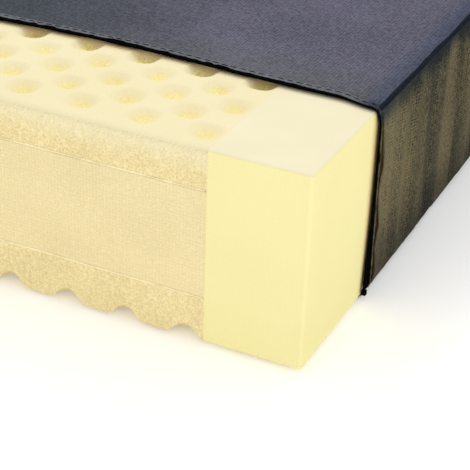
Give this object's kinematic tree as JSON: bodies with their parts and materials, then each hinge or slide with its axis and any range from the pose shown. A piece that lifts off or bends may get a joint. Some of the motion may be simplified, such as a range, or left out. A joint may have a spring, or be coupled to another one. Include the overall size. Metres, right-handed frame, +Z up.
{
  "type": "pressure relief mattress",
  "caption": "Pressure relief mattress: glued foam block with dimpled faces and firm side rails, in a zipped cover drawn back from the foot end.",
  "frame": {"origin": "on the surface the mattress rests on, under the middle of the foam block", "axes": "+X across the bed towards the side the picture shows, +Y along the bed from foot to head, +Z up"},
  "size_m": [0.8928, 2.0984, 0.1574],
  "materials": {
    "rail_foam": "matt, smooth-cut light yellow foam",
    "dimpled_foam": "matt, open-cell cream foam",
    "core_foam": "matt, fine-cell beige foam",
    "adhesive": "dried adhesive film",
    "cover_top_fabric": "coated knit, slight sheen",
    "cover_border_fabric": "coated knit, slight sheen",
    "cover_base_fabric": "heavy coated base fabric",
    "seam_piping": "rolled welded seam",
    "hem_binding": "folded, topstitched hem",
    "zip_tape": "woven zip tape",
    "zip_coil": "moulded nylon coil",
    "zip_metal": "black painted die casting"
  },
  "bodies": {
    "foam_block": {"side_rail_right": "rail_foam", "side_rail_left": "rail_foam", "top_foam_layer": "dimpled_foam", "core_foam_layer": "core_foam", "bottom_foam_layer": "dimpled_foam", "glue_film_upper": "adhesive", "glue_film_lower": "adhesive", "glue_film_right": "adhesive", "glue_film_left": "adhesive"},
    "cover": {"cover_top_panel": "cover_top_fabric", "cover_base_panel": "cover_base_fabric", "cover_side_panel_right": "cover_border_fabric", "cover_side_panel_left": "cover_border_fabric", "cover_head_panel": "cover_border_fabric", "top_seam_right": "seam_piping", "top_seam_left": "seam_piping", "top_seam_head": "seam_piping", "base_seam_right": "seam_piping", "base_seam_left": "seam_piping", "base_seam_head": "seam_piping", "base_seam_foot": "seam_piping", "head_seam_right": "seam_piping", "head_seam_left": "seam_piping", "hem_top": "hem_binding", "hem_right": "hem_binding", "hem_left": "hem_binding", "zip_tape_cover": "zip_tape", "zip_coil_cover": "zip_coil", "zip_stop_right": "zip_metal", "zip_stop_left": "zip_metal"},
    "foot_flap": {"foot_panel": "cover_border_fabric", "zip_tape_foot": "zip_tape", "zip_coil_foot": "zip_coil"},
    "slider": {"zip_slider": "zip_metal", "zip_pull_pin": "zip_metal"},
    "pull_tab": {"zip_pull": "zip_metal"}
  },
  "joints": [
    {"name": "cover_draw", "type": "slide", "parent": "foam_block", "child": "cover", "axis": [0, 1, 0], "range_m": [-0.1135, 1.985]},
    {"name": "foot_panel_fold", "type": "hinge", "parent": "cover", "child": "foot_flap", "pos_m": [0, -0.8775, 0.001], "axis": [-1, 0, 0], "range_deg": [0, 180]},
    {"name": "zip_slider_run", "type": "slide", "parent": "cover", "child": "slider", "axis": [0, 0, 1], "range_m": [0, 0.125]},
    {"name": "zip_pull_swing", "type": "hinge", "parent": "slider", "child": "pull_tab", "pos_m": [-0.4467, -0.883, 0.022], "axis": [0, 1, 0], "range_deg": [0, 170]}
  ]
}
